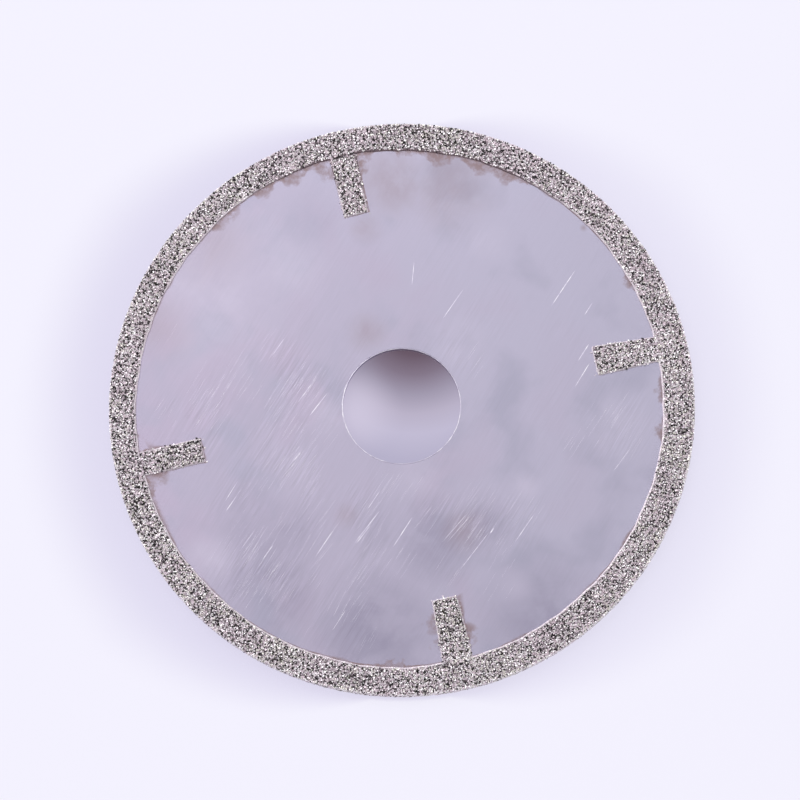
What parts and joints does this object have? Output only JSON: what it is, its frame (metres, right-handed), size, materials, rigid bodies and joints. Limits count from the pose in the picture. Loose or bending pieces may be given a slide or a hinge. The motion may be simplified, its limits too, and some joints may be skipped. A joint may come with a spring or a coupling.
{
  "type": "diamond saw blade",
  "caption": "Flat round steel saw blade with a central bore, a continuous rim band of plated diamond grit and radial grit strips on both faces.",
  "frame": {"origin": "on the bore's axis, in the plane that the blade lies on", "axes": "+Z along the bore's axis, away from the surface it lies on; +X and +Y along the guard strips"},
  "size_m": [0.1, 0.1, 0.002],
  "materials": {
    "ground_steel": "satin, fine grinding lines",
    "diamond_grit": "coarse grit held in nickel, sparkling"
  },
  "bodies": {
    "root": {"steel_blank": "ground_steel", "diamond_plating": "diamond_grit"}
  },
  "joints": []
}
